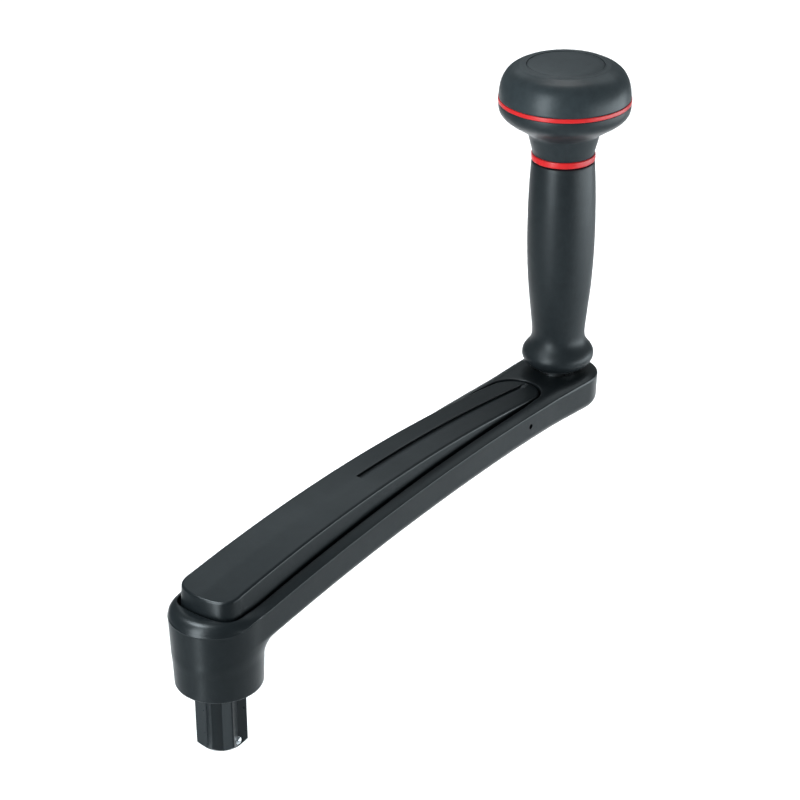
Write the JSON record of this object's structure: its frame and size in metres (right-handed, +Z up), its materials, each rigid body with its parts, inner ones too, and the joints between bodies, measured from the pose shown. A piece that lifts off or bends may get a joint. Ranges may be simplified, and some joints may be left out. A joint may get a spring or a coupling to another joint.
{
  "type": "locking winch handle",
  "caption": "Cranked hand winch handle with an eight-point drive stub, ball lock released by a full-length lever, spinning grip and palm knob.",
  "frame": {"origin": "where the drive axis meets the flat seat under the hub", "axes": "+Z up along the drive axis, +X along the arm to the grip axis, +Y across the arm"},
  "size_m": [0.307, 0.0636, 0.2444],
  "materials": {
    "arm_black": "satin black coating with a fine grain",
    "stub_black": "blackened, semi-gloss",
    "lever_black": "satin moulded",
    "grip_charcoal": "fine-grained soft satin",
    "red_plastic": "semi-gloss",
    "steel": "turned",
    "bright_steel": "polished",
    "bush_plastic": "natural acetal"
  },
  "bodies": {
    "root": {"arm": "arm_black", "drive_stub": "stub_black", "stub_nut": "steel", "lever_pivot_pin": "steel", "spindle": "steel", "spindle_washer": "steel", "spindle_nut": "steel", "grip_thrust_washer": "steel", "grip_circlip": "steel"},
    "lever": {"release_lever": "lever_black"},
    "plunger": {"lock_plunger": "steel", "plunger_button": "lever_black", "plunger_spring": "steel"},
    "ball_front": {"lock_ball_front": "bright_steel"},
    "ball_rear": {"lock_ball_rear": "bright_steel"},
    "grip": {"grip": "grip_charcoal", "grip_bush_lower": "bush_plastic", "grip_bush_upper": "bush_plastic"},
    "knob": {"neck_ring": "red_plastic", "knob_base": "grip_charcoal", "knob_bush": "bush_plastic", "knob_band": "red_plastic", "knob_top": "grip_charcoal", "knob_cap": "grip_charcoal", "knob_washer": "steel", "knob_screw": "steel"}
  },
  "joints": [
    {"name": "lever_press", "type": "hinge", "parent": "root", "child": "lever", "pos_m": [0.2045, 0, 0.046], "axis": [0, -1, 0], "range_deg": [0, 0.7], "stiffness_Nm_per_rad": 40, "springref_deg": -1.72},
    {"name": "plunger_drop", "type": "slide", "parent": "root", "child": "plunger", "axis": [0, 0, -1], "range_m": [0, 0.0026], "deforming": ["plunger_spring"]},
    {"name": "ball_front_retract", "type": "slide", "parent": "root", "child": "ball_front", "axis": [0, 1, 0], "range_m": [0, 0.0016]},
    {"name": "ball_rear_retract", "type": "slide", "parent": "root", "child": "ball_rear", "axis": [0, -1, 0], "range_m": [0, 0.0016]},
    {"name": "grip_spin", "type": "hinge", "parent": "root", "child": "grip", "pos_m": [0.254, 0, 0.1], "axis": [0, 0, 1], "continuous": true},
    {"name": "knob_spin", "type": "hinge", "parent": "root", "child": "knob", "pos_m": [0.254, 0, 0.19], "axis": [0, 0, 1], "continuous": true}
  ],
  "couplings": [
    {"joint": "plunger_drop", "follows": "lever_press", "m_per_rad": 0.2045},
    {"joint": "ball_front_retract", "follows": "lever_press", "m_per_rad": 0.127},
    {"joint": "ball_rear_retract", "follows": "lever_press", "m_per_rad": 0.127}
  ]
}
